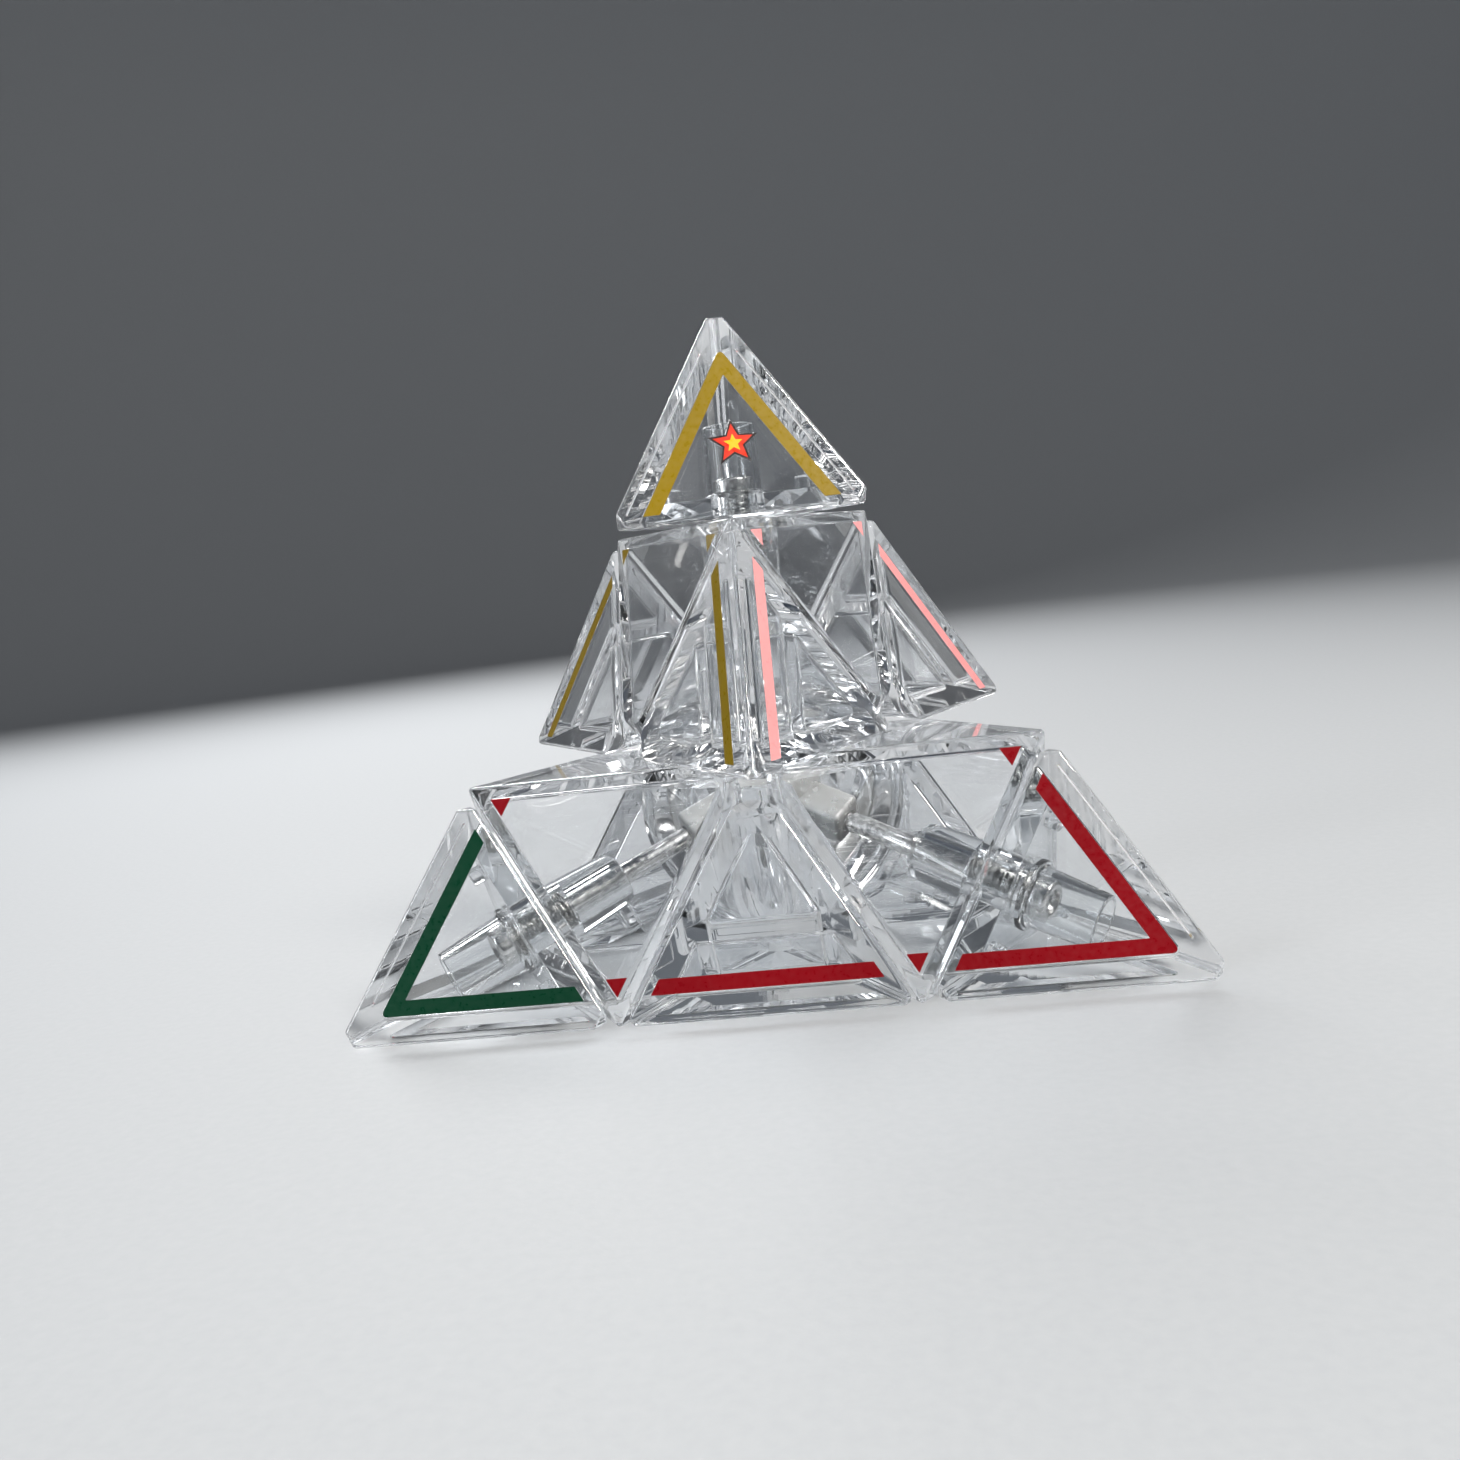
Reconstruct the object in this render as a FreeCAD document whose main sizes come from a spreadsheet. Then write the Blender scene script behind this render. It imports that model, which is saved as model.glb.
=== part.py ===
"""Clear pyramid twisty puzzle: four tips, four axials and six edges around one core.

The whole puzzle is a regular tetrahedron with one face down. +Z is up, the origin is the centre of the
core, where all the axes of turning meet, and the front face looks along -Y. Every piece is first made in
its home position, in the top corner or on the top left edge, and is then carried to its place.
"""
import FreeCAD
import Part
import math
import os

from FreeCAD import Placement, Rotation, Vector

DIMENSIONS = {
    # Whole puzzle
    "edge_length": 98.0,  # corner to corner, with sharp corners
    "half_gap": 0.15,  # each piece stops this far short of the plane that it turns on
    "top_layer_turn": 183.4,  # degrees from solved, as stored
    "top_tip_turn": -109.0,
    "left_tip_turn": 120.0,
    "right_tip_turn": 0.0,
    "back_tip_turn": 0.0,
    # Clear shells
    "wall": 1.8,
    "edge_round": 0.5,
    "inner_round": 4.9,  # on the edge of a shell that points at the core
    "vertex_round": 4.5,  # on the axial's corners at the middle of each face
    "cavity_round": 0.8,
    "web_start": 25.0,  # of the web across the inside of an edge, from the core's centre
    "web_thickness": 0.8,
    "tip_blunting": 2.3,  # flats across the corners of a tip, from the sharp corner
    "edge_blunting": 1.4,  # the same on the outer corners of an edge
    "fit": 0.05,  # glued plates stand this far off the walls
    # The track in which the feet run
    "track_radius": 17.0,
    "track_gap": 0.3,
    "foot_reach": 3.6,  # how far a foot reaches under its neighbours, square to the cut
    # Core
    "core_radius": 6.6,
    "arm_width": 4.6,
    "arm_length": 12.0,
    "arm_round": 0.6,
    # Screw and spring, on each corner's axis
    "screw_diameter": 2.6,
    "screw_start": 4.0,  # distances from the core's centre
    "screw_head_diameter": 5.0,
    "screw_head_height": 2.0,
    "driver_width": 2.5,
    "driver_depth": 1.1,
    "pilot_play": 0.1,  # on the diameter
    "spring_diameter": 4.8,  # outside
    "spring_wire": 0.5,
    "spring_pitch": 0.8,
    # Boss of the axial's cap
    "cap_thickness": 1.8,
    "boss_root_diameter": 7.8,
    "boss_end_diameter": 6.8,
    "boss_length": 11.6,
    "boss_floor": 7.4,
    "boss_round": 1.2,
    "boss_bore": 5.4,
    "socket_depth": 2.0,
    # Post that the tip turns on
    "post_neck_diameter": 6.3,
    "post_bore": 5.3,
    "flange_diameter": 8.4,
    "flange_thickness": 0.8,
    "post_root_diameter": 7.2,
    "post_end_diameter": 6.4,
    "post_tube_length": 7.9,
    "running_play": 0.1,  # radial, and end play
    # Plate that closes a tip
    "plate_thickness": 2.4,
    "peg_diameter": 2.0,
    "peg_length": 1.6,
    "peg_offset": 9.0,  # from the corner's axis
    # Colour strips, let into the faces
    "strip_near": 3.3,  # from the edge of the pyramid
    "strip_far": 5.0,
    "strip_margin": 1.55,  # from the edge of the piece
    "triangle_far": 5.45,  # the same two distances on an axial
    "triangle_margin": 1.7,
    "strip_thickness": 0.12,
    "strip_recess": 0.15,
    "strip_play": 0.02,
    "emblem_radius": 3.1,
}

doc = FreeCAD.newDocument("pyramid_puzzle")


def make_sheet():
    """The driving dimensions, one alias a row."""
    sheet = doc.addObject("Spreadsheet::Sheet", "dims")
    for row, (alias, value) in enumerate(DIMENSIONS.items(), start=1):
        sheet.set(f"A{row}", alias)
        sheet.set(f"B{row}", str(value))
        sheet.setAlias(f"B{row}", alias)
    doc.recompute()
    return sheet


sheet = make_sheet()


def size(alias):
    """A driving dimension as a number."""
    return float(sheet.get(alias))


# Derived lengths, as numbers for placing things and as expressions for sizing them.
PYRAMID_HEIGHT = size("edge_length") * math.sqrt(2 / 3)
CENTRE_HEIGHT = PYRAMID_HEIGHT / 4
FACE_HEIGHT = size("edge_length") * math.sqrt(3) / 2
HEIGHT = "(dims.edge_length * sqrt(2 / 3))"
THIRD = f"({HEIGHT} / 3)"
INNER_CUT = f"({THIRD} + dims.half_gap)"
OUTER_CUT = f"(2 * {THIRD} + dims.half_gap)"
# The plane between an axial and its tip, from the core's centre along the corner's axis.
TIP_PLANE = f"({HEIGHT} * 5 / 12)"
TIP_REACH = f"({HEIGHT} - {OUTER_CUT} - dims.tip_blunting)"
EDGE_REACH = f"({HEIGHT} - {INNER_CUT} - dims.edge_blunting)"
CAP_FACE = f"({TIP_PLANE} - dims.half_gap)"
PLATE_FACE = f"({TIP_PLANE} + dims.half_gap)"
FLANGE_START = f"({PLATE_FACE} + dims.plate_thickness + dims.running_play)"
FLANGE_END = f"({FLANGE_START} + dims.flange_thickness)"
BOSS_END = f"({CAP_FACE} - dims.boss_length)"

UP = Vector(0, 0, 1)


def corner_point(azimuth):
    """A base corner of the pyramid, from the core's centre."""
    radius = size("edge_length") / math.sqrt(3)
    angle = math.radians(azimuth)
    return Vector(radius * math.cos(angle), radius * math.sin(angle), -CENTRE_HEIGHT)


CORNERS = {
    "top": Vector(0, 0, 3 * CENTRE_HEIGHT),
    "left": corner_point(-150),
    "right": corner_point(-30),
    "back": corner_point(90),
}


# ---------------------------------------------------------------- building blocks

def new(kind, name, **values):
    """A document object with its properties set; a string is an expression, bound to the sheet."""
    item = doc.addObject(kind, name)
    for key, value in values.items():
        if isinstance(value, str):
            item.setExpression(key, value)
        else:
            setattr(item, key, value)
    return item


def tetrahedron(name, base, right_back, left_back, front, pointing=1):
    """A regular tetrahedron between four planes, each parallel to a face of the pyramid.

    base, right_back, left_back and front are the planes' distances inside those faces, as expressions.
    pointing is 1 for the space beyond all four planes, and -1, apex down, for the space short of them.
    """
    tall = f"({pointing} * ({HEIGHT} - {base} - {right_back} - {left_back} - {front}))"
    x = f"({left_back} - {right_back}) * sqrt(3) / (2 * sqrt(2))"
    y = f"({front} - ({left_back} + {right_back}) / 2) / sqrt(2)"
    z = f"{base} - {HEIGHT} / 4"
    triangle = new("Part::RegularPolygon", name + "_triangle", Polygon=3, Circumradius=f"{tall} / sqrt(2)")
    triangle.Placement = Placement(Vector(), Rotation(UP, 90 * pointing))
    triangle.setExpression("Placement.Base.x", x)
    triangle.setExpression("Placement.Base.y", y)
    triangle.setExpression("Placement.Base.z", z)
    apex = new("Part::Vertex", name + "_apex", X=x, Y=y, Z=f"{z} + {pointing} * {tall}")
    return new("Part::Loft", name, Sections=[triangle, apex], Solid=True, Ruled=True)


def rounded(name, base, radius_of):
    """base with its edges filleted; radius_of gives an edge's radius, or 0 to leave it sharp."""
    doc.recompute()
    chosen = [(number, radius_of(edge)) for number, edge in enumerate(base.Shape.Edges, start=1)]
    fillet = new("Part::Fillet", name, Base=base)
    fillet.Edges = [(number, radius, radius) for number, radius in chosen if radius > 0]
    doc.recompute()
    return fillet


def cylinder(name, diameter, start, end):
    """A cylinder on the corner's axis between two distances from the core's centre."""
    item = new("Part::Cylinder", name, Radius=f"({diameter}) / 2", Height=f"{end} - {start}")
    item.setExpression("Placement.Base.z", start)
    return item


def cone(name, start_diameter, end_diameter, start, end):
    """A cone on the corner's axis between two distances from the core's centre."""
    item = new(
        "Part::Cone",
        name,
        Radius1=f"({start_diameter}) / 2",
        Radius2=f"({end_diameter}) / 2",
        Height=f"{end} - {start}",
    )
    item.setExpression("Placement.Base.z", start)
    return item


def slab(name, start, end):
    """A wide flat box square to the corner's axis between two distances from the core's centre."""
    item = new(
        "Part::Box",
        name,
        Length="dims.edge_length",
        Width="dims.edge_length",
        Height=f"{end} - {start}",
    )
    item.setExpression("Placement.Base.x", "-dims.edge_length / 2")
    item.setExpression("Placement.Base.y", "-dims.edge_length / 2")
    item.setExpression("Placement.Base.z", start)
    return item


def ball(name, radius):
    return new("Part::Sphere", name, Radius=radius)


def fuse(name, *shapes):
    return new("Part::MultiFuse", name, Shapes=list(shapes), Refine=True)


def common(name, *shapes):
    return new("Part::MultiCommon", name, Shapes=list(shapes), Refine=True)


def cut(name, base, *tools):
    """base less every tool."""
    tool = tools[0] if len(tools) == 1 else new("Part::Compound", name + "_tools", Links=list(tools))
    return new("Part::Cut", name, Base=base, Tool=tool, Refine=True)


# ---------------------------------------------------------------- colour strips

def on_front_face(from_base=None, from_right=None, from_left=None, depth=0.0):
    """A point under the front face, from its distances to two of the face's three sides.

    The distances to the base side, the right side and the left side add up to the face's height, so the
    one left out follows from the other two.
    """
    if from_base is None:
        from_base = FACE_HEIGHT - from_right - from_left
    if from_right is None:
        from_right = FACE_HEIGHT - from_base - from_left
    if from_left is None:
        from_left = FACE_HEIGHT - from_base - from_right
    weighted = CORNERS["top"] * from_base + CORNERS["left"] * from_right + CORNERS["right"] * from_left
    inward = CORNERS["back"] / CORNERS["back"].Length
    return weighted / FACE_HEIGHT + inward * depth


def strip_outlines(depth, grow):
    """The outlines on the front face of a tip, an edge and an axial, each in its home position."""
    near = size("strip_near") - grow
    far = size("strip_far") + grow
    margin = size("strip_margin") - grow
    third = FACE_HEIGHT / 3
    triangle_far = size("triangle_far") + grow
    low = third - size("triangle_margin") + grow
    high = 2 * third - size("triangle_margin") + grow

    def point(**distances):
        return on_front_face(depth=depth, **distances)

    tip = [
        point(from_base=2 * third + margin, from_left=near),
        point(from_base=2 * third + margin, from_left=far),
        point(from_right=far, from_left=far),
        point(from_base=2 * third + margin, from_right=far),
        point(from_base=2 * third + margin, from_right=near),
        point(from_right=near, from_left=near),
    ]
    edge = [
        point(from_base=third + margin, from_left=near),
        point(from_base=third + margin, from_left=far),
        point(from_right=third + margin, from_left=far),
        point(from_right=third + margin, from_left=near),
    ]
    axial_left = [
        point(from_base=high, from_right=low),
        point(from_base=high, from_left=triangle_far),
        point(from_right=low, from_left=triangle_far),
    ]
    axial_right = [
        point(from_base=high, from_left=low),
        point(from_base=high, from_right=triangle_far),
        point(from_left=low, from_right=triangle_far),
    ]
    return {"tip": [tip], "edge": [edge], "axial": [axial_left, axial_right]}


def emblem_outline(depth, grow):
    """A plain five-pointed star in the middle of the top tip's front face."""
    third = FACE_HEIGHT / 3
    middle = on_front_face(from_base=2 * third + third / 3, from_left=third / 3, depth=depth)
    across = (CORNERS["right"] - CORNERS["left"]).normalize()
    upward = (CORNERS["top"] - on_front_face(from_base=0, from_left=FACE_HEIGHT / 2)).normalize()
    outer = size("emblem_radius") + grow
    inner = outer * 0.45
    points = []
    for step in range(10):
        radius = outer if step % 2 == 0 else inner
        angle = math.radians(90 + 36 * step)
        points.append(middle + across * radius * math.cos(angle) + upward * radius * math.sin(angle))
    return points


def film(name, points, thickness):
    """A flat film on the front face, from its inner outline outwards."""
    outline = new("Part::Polygon", name + "_outline", Nodes=points, Close=True)
    item = new("Part::Extrusion", name, Base=outline, LengthFwd=thickness, Solid=True)
    item.DirMode = "Custom"
    item.Dir = CORNERS["back"] / -CORNERS["back"].Length
    return item


def films(kind):
    """A strip group's films on the front face, and the cutters of the recesses that they lie in."""
    floor = size("strip_recess")
    raised = floor - size("strip_play")
    painted = [
        film(f"{kind}_film_{number}", points, "dims.strip_thickness")
        for number, points in enumerate(strip_outlines(raised, 0)[kind])
    ]
    cutters = [
        film(f"{kind}_recess_{number}", points, "2 * dims.strip_recess")
        for number, points in enumerate(strip_outlines(floor, size("strip_play"))[kind])
    ]
    strip = new("Part::Compound", f"{kind}_strip", Links=painted)
    recess = new("Part::Compound", f"{kind}_recess", Links=cutters)
    return strip, recess


def copy_at(name, item, placement):
    """item again, in another place."""
    return new("Part::Compound", name, Links=[item], Placement=placement)


THREE_TURNS = [Rotation(UP, 120 * step) for step in range(3)]


def three_copies(item, name):
    """item about the corner's axis three times."""
    places = [Placement(Vector(), turn) for turn in THREE_TURNS]
    return [copy_at(f"{name}_{step}", item, place) for step, place in enumerate(places)]


# Half a turn about the line from the core's centre through the middle of the top left edge.
SWAP_EDGE_FACES = Rotation(CORNERS["top"] + CORNERS["left"], 180)


# ---------------------------------------------------------------- pieces in their home positions

def edge_distance(edge):
    return edge.CenterOfMass.Length


def make_tip_shell(recess):
    """A hollow tetrahedron with blunted corners, open below."""
    sharp = tetrahedron("tip_sharp", OUTER_CUT, "0", "0", "0")
    top = f"({HEIGHT} - dims.tip_blunting)"
    limit = tetrahedron("tip_limit", top, TIP_REACH, TIP_REACH, TIP_REACH, pointing=-1)
    block = common("tip_block", sharp, limit)
    outside = rounded("tip_outside", block, lambda edge: size("edge_round"))
    hollow = tetrahedron("tip_hollow", f"({OUTER_CUT} - 4)", "dims.wall", "dims.wall", "dims.wall")
    inside = rounded("tip_inside", hollow, lambda edge: size("cavity_round"))
    return cut("tip_shell", outside, inside, *three_copies(recess, "tip_recess"))


def make_tip_plate():
    """The plate that closes a tip and turns on the post, with a peg in each corner."""
    side = "(dims.wall + dims.fit)"
    body = tetrahedron("tip_plate_body", OUTER_CUT, side, side, side)
    rounded_body = rounded(
        "tip_plate_rounded",
        body,
        lambda edge: 0 if abs(edge.tangentAt(0).z) < 0.01 else size("cavity_round"),
    )
    kept = slab("tip_plate_slab", f"({PLATE_FACE} - 1)", f"({PLATE_FACE} + dims.plate_thickness)")
    hole = cylinder(
        "tip_plate_hole",
        "dims.post_neck_diameter + 2 * dims.running_play",
        f"({PLATE_FACE} - 1)",
        f"({FLANGE_START} + 1)",
    )
    face = f"({PLATE_FACE} + dims.plate_thickness)"
    peg = cylinder("tip_plate_peg", "dims.peg_diameter", f"({face} - 1)", f"({face} + dims.peg_length)")
    peg.setExpression("Placement.Base.y", "dims.peg_offset")
    plate = common("tip_plate_slice", rounded_body, kept)
    return cut("tip_plate", fuse("tip_plate_blank", plate, *three_copies(peg, "tip_plate_peg")), hole)


def make_post():
    """The clear tube fixed in the axial's cap, whose flange holds the tip."""
    start = f"({CAP_FACE} - dims.socket_depth)"
    end = f"({FLANGE_END} + dims.post_tube_length)"
    neck = cylinder("post_neck", "dims.post_neck_diameter", start, FLANGE_END)
    flange = cylinder("post_flange", "dims.flange_diameter", FLANGE_START, FLANGE_END)
    tube = cone("post_tube", "dims.post_root_diameter", "dims.post_end_diameter", FLANGE_END, end)
    bore = cylinder("post_hole", "dims.post_bore", f"({start} - 1)", f"({end} + 1)")
    return cut("post", fuse("post_blank", neck, flange, tube), bore)


def make_axial_shell(recess):
    """A hollow octahedron, open towards the tip and cut back to the track around the core."""
    inward = f"(2 * {THIRD} - dims.half_gap)"
    side = f"({THIRD} - dims.half_gap)"
    upper = tetrahedron("axial_upper", INNER_CUT, "0", "0", "0")
    lower = tetrahedron("axial_lower", inward, side, side, side, pointing=-1)

    lower_rounded = rounded(
        "axial_lower_rounded",
        lower,
        lambda edge: size("vertex_round") if abs(edge.tangentAt(0).z) > 0.01 else 0,
    )
    block = common("axial_block", upper, lower_rounded)
    outside = rounded(
        "axial_outside",
        block,
        lambda edge: size("edge_round") if edge.Curve.TypeId == "Part::GeomLine" else 0,
    )
    inner_side = f"({side} - dims.wall)"
    upper_hollow = tetrahedron(
        "axial_upper_hollow", f"({INNER_CUT} - 2)", "dims.wall", "dims.wall", "dims.wall"
    )
    lower_hollow = tetrahedron(
        "axial_lower_hollow", f"({inward} + 2)", inner_side, inner_side, inner_side, pointing=-1
    )
    inside = common("axial_inside", upper_hollow, lower_hollow)
    track = ball("axial_track", "dims.track_radius + dims.track_gap")
    return cut("axial_shell", outside, inside, track, *three_copies(recess, "axial_recess"))


def make_axial_cap():
    """The plate at the axial's outer end, with the boss that holds the spring."""
    side = f"({THIRD} - dims.half_gap - dims.wall - dims.fit)"
    clear = "(dims.wall + dims.fit)"
    upper = tetrahedron("cap_upper", INNER_CUT, clear, clear, clear)
    lower = tetrahedron("cap_lower", f"(2 * {THIRD} + 2)", side, side, side, pointing=-1)
    kept = slab("cap_slab", f"({CAP_FACE} - dims.cap_thickness)", CAP_FACE)
    plate = common("cap_plate", upper, lower, kept)
    boss = cone("boss_body", "dims.boss_end_diameter", "dims.boss_root_diameter", BOSS_END, CAP_FACE)
    boss_rounded = rounded(
        "boss_rounded",
        boss,
        lambda edge: size("boss_round") if edge.CenterOfMass.z < size("track_radius") + 8 else 0,
    )
    floor = f"({BOSS_END} + dims.boss_floor)"
    bore = cylinder("boss_bore", "dims.boss_bore", floor, f"({CAP_FACE} + 1)")
    shank_hole = cylinder("boss_hole", "dims.screw_diameter + 0.4", f"({BOSS_END} - 1)", CAP_FACE)
    socket = cylinder(
        "boss_socket",
        "dims.post_neck_diameter + 2 * dims.fit",
        f"({CAP_FACE} - dims.socket_depth)",
        f"({CAP_FACE} + 1)",
    )
    return cut("axial_cap", fuse("cap_blank", plate, boss_rounded), bore, shank_hole, socket)


def make_screw():
    """A round-headed screw from the core, out through the spring."""
    shank = cylinder("screw_shank", "dims.screw_diameter", "dims.screw_start", FLANGE_END)
    top = f"({FLANGE_END} + dims.screw_head_height)"
    head = cylinder("screw_head", "dims.screw_head_diameter", FLANGE_END, top)
    driver = new(
        "Part::Prism",
        "screw_driver",
        Polygon=6,
        Circumradius="dims.driver_width / sqrt(3)",
        Height="dims.driver_depth + 1",
    )
    driver.setExpression("Placement.Base.z", f"{top} - dims.driver_depth")
    return cut("screw", fuse("screw_blank", shank, head), driver)


def make_spring():
    """A helical spring between the boss's floor and the screw's head."""
    first = f"({BOSS_END} + dims.boss_floor + dims.spring_wire / 2 + dims.running_play)"
    last = f"({FLANGE_END} - dims.spring_wire / 2 - dims.running_play)"
    middle = "((dims.spring_diameter - dims.spring_wire) / 2)"
    path = new(
        "Part::Helix",
        "spring_path",
        Pitch="dims.spring_pitch",
        Height=f"{last} - {first}",
        Radius=middle,
        SegmentLength="1",
    )
    path.setExpression("Placement.Base.z", first)
    wire = new("Part::Circle", "spring_wire_section", Radius="dims.spring_wire / 2")
    wire.Placement = Placement(Vector(), Rotation(Vector(1, 0, 0), 90))
    wire.setExpression("Placement.Base.x", middle)
    wire.setExpression("Placement.Base.z", first)
    doc.recompute()
    turns = [f"Edge{number}" for number in range(1, len(path.Shape.Edges) + 1)]
    return new("Part::Sweep", "spring", Sections=[wire], Spine=(path, turns), Solid=True, Frenet=True)


def rounded_inside(name, base, inner_radius, radius):
    """base with the edge nearest the core rounded to one radius and the rest to another."""
    doc.recompute()
    inner = min(base.Shape.Edges, key=edge_distance)
    return rounded(name, base, lambda edge: inner_radius if edge.isSame(inner) else radius)


def make_edge_web():
    """A slab square to the line from the core's centre through the middle of the top left edge."""
    outward = (CORNERS["top"] + CORNERS["left"]).normalize()
    slab = new("Part::Cylinder", "edge_web", Radius="dims.edge_length / 2", Height="dims.web_thickness")
    slab.Placement = Placement(Vector(), Rotation(UP, outward))
    for axis, share in zip("xyz", outward):
        slab.setExpression(f"Placement.Base.{axis}", f"{share} * dims.web_start")
    return slab


def make_edge_shell(recess):
    """A hollow tetrahedron on the top left edge with a web across it, cut back to the track."""
    sharp = tetrahedron("edge_sharp", INNER_CUT, INNER_CUT, "0", "0")
    limit = tetrahedron("edge_limit", EDGE_REACH, EDGE_REACH, HEIGHT, HEIGHT, pointing=-1)
    block = common("edge_block", sharp, limit)
    outside = rounded_inside("edge_outside", block, size("inner_round"), size("edge_round"))
    hollow = tetrahedron(
        "edge_hollow",
        f"({INNER_CUT} + dims.wall)",
        f"({INNER_CUT} + dims.wall)",
        "dims.wall",
        "dims.wall",
    )
    inner_round = size("inner_round") - size("wall")
    inside = rounded_inside("edge_inside", hollow, inner_round, size("cavity_round"))
    rooms = cut("edge_rooms", inside, make_edge_web())
    track = ball("edge_track", "dims.track_radius + dims.fit")
    recesses = [recess, copy_at("edge_recess_2", recess, Placement(Vector(), SWAP_EDGE_FACES))]
    return cut("edge_shell", outside, rooms, track, *recesses)


def make_edge_foot():
    """The solid foot under an edge, which reaches under its neighbours inside the track."""
    reach = f"({THIRD} - dims.foot_reach + dims.half_gap)"
    short = f"({THIRD} - dims.foot_reach - dims.half_gap)"
    wedge = tetrahedron("foot_wedge", reach, reach, "-100", "-100")
    limit = tetrahedron("foot_limit", "200", "200", short, short, pointing=-1)
    track = ball("foot_track", "dims.track_radius")
    core = ball("foot_core", "dims.core_radius + dims.track_gap")
    return cut("edge_foot", common("foot_blank", wedge, limit, track), core)


def make_core():
    """A ball with four square arms, drilled for the screws."""
    arm = new(
        "Part::Box",
        "core_arm",
        Length="dims.arm_width",
        Width="dims.arm_width",
        Height="dims.arm_length",
    )
    arm.setExpression("Placement.Base.x", "-dims.arm_width / 2")
    arm.setExpression("Placement.Base.y", "-dims.arm_width / 2")
    arm_rounded = rounded(
        "core_arm_rounded",
        arm,
        lambda edge: size("arm_round") if edge.CenterOfMass.z > 0.01 else 0,
    )
    hole = cylinder(
        "core_hole",
        "dims.screw_diameter + dims.pilot_play",
        "(dims.screw_start - dims.running_play)",
        "(dims.arm_length + 1)",
    )
    arms = []
    holes = []
    for corner in CORNERS:
        place = Placement(Vector(), corner_rotation(corner))
        arms.append(copy_at(f"core_arm_{corner}", arm_rounded, place))
        holes.append(copy_at(f"core_hole_{corner}", hole, place))
    blank = fuse("core_blank", ball("core_ball", "dims.core_radius"), *arms)
    return cut("core", blank, *holes)


# ---------------------------------------------------------------- places

def turned(corner, degrees):
    """A turn about a corner's axis, right-handed as seen from outside."""
    return Rotation(CORNERS[corner], degrees)


TURNS = {
    "base": Rotation(),
    "top_layer": turned("top", size("top_layer_turn")),
    "top_tip": turned("top", size("top_tip_turn")),
    "left_tip": turned("left", size("left_tip_turn")),
    "right_tip": turned("right", size("right_tip_turn")),
    "back_tip": turned("back", size("back_tip_turn")),
}

# The colour of each solved face, by the corner opposite.
FACE_COLOURS = {"back": "red", "left": "yellow", "right": "pink", "top": "green"}

# Each edge by its place as stored: the body that it rides on and the two corners that it joins when solved.
EDGES = {
    "upper_right": ("top_layer", "top", "left"),
    "upper_left": ("top_layer", "top", "right"),
    "upper_front": ("top_layer", "top", "back"),
    "lower_front": ("base", "left", "right"),
    "lower_right": ("base", "right", "back"),
    "lower_left": ("base", "back", "left"),
}


def corner_rotation(corner):
    """The rotation that carries the top corner's pieces to another corner of the solved puzzle."""
    if corner == "top":
        return Rotation()
    return Rotation(CORNERS["top"] + CORNERS[corner], 180)


def pair_frame(first, second):
    outward = CORNERS[first] + CORNERS[second]
    return Rotation(CORNERS[second] - CORNERS[first], Vector(), outward, "ZXY")


def edge_rotation(first, second):
    """The rotation that carries the top left edge to the edge between two corners of the solved puzzle."""
    return pair_frame(first, second).multiply(pair_frame("top", "left").inverted())


def stored(body, solved_rotation):
    """Where a piece of a body is, with the puzzle turned as stored."""
    return Placement(Vector(), TURNS[body].multiply(solved_rotation))


def face_colour(solved_rotation):
    """The colour of the solved face that the front face is carried to."""
    outward = solved_rotation.multVec(-CORNERS["back"])
    opposite = min(CORNERS, key=lambda corner: CORNERS[corner].dot(outward))
    return FACE_COLOURS[opposite]


nodes = {}
strip_groups = {}


def add_node(label, item, placement):
    """One sub-part, as a placed copy of a piece in its home position."""
    node = copy_at(label, item, placement)
    node.Label = label
    nodes[label] = node


def add_strips(kind, body, solved_rotation, face_turns):
    """A piece's strips, each put with the others of its body and colour."""
    for face_turn in face_turns:
        rotation = solved_rotation.multiply(face_turn)
        label = f"{body}_{face_colour(rotation)}_strips"
        group = strip_groups.setdefault(label, [])
        name = f"{label}_{len(group)}"
        group.append(copy_at(name, STRIPS[kind], stored(body, rotation)))


STRIPS = {}
RECESSES = {}
for kind in ("tip", "edge", "axial"):
    STRIPS[kind], RECESSES[kind] = films(kind)

tip_shell = make_tip_shell(RECESSES["tip"])
tip_plate = make_tip_plate()
post = make_post()
axial_shell = make_axial_shell(RECESSES["axial"])
axial_cap = make_axial_cap()
edge_shell = make_edge_shell(RECESSES["edge"])
edge_foot = make_edge_foot()
screw = make_screw()
spring = make_spring()

# The emblem is on the top tip's yellow face.
emblem_turn = Placement(Vector(), THREE_TURNS[1])
emblem_film = film(
    "emblem_film",
    emblem_outline(size("strip_recess") - size("strip_play"), 0),
    "dims.strip_thickness",
)
emblem_cutter = film(
    "emblem_cutter",
    emblem_outline(size("strip_recess"), size("strip_play")),
    "2 * dims.strip_recess",
)
emblem_recess = copy_at("emblem_recess", emblem_cutter, emblem_turn)
marked_tip_shell = cut("marked_tip_shell", tip_shell, emblem_recess)

add_node("core", make_core(), Placement())
for corner in CORNERS:
    solved = corner_rotation(corner)
    layer = "top_layer" if corner == "top" else "base"
    tip = f"{corner}_tip"
    shell = marked_tip_shell if corner == "top" else tip_shell
    add_node(f"{corner}_axial_shell", axial_shell, stored(layer, solved))
    add_node(f"{corner}_axial_cap", axial_cap, stored(layer, solved))
    add_node(f"{corner}_spring", spring, stored(layer, solved))
    add_node(f"{corner}_post", post, stored(layer, solved))
    add_node(f"{corner}_tip_shell", shell, stored(tip, solved))
    add_node(f"{corner}_tip_plate", tip_plate, stored(tip, solved))
    add_strips("axial", layer, solved, THREE_TURNS)
    add_strips("tip", tip, solved, THREE_TURNS)

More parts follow.
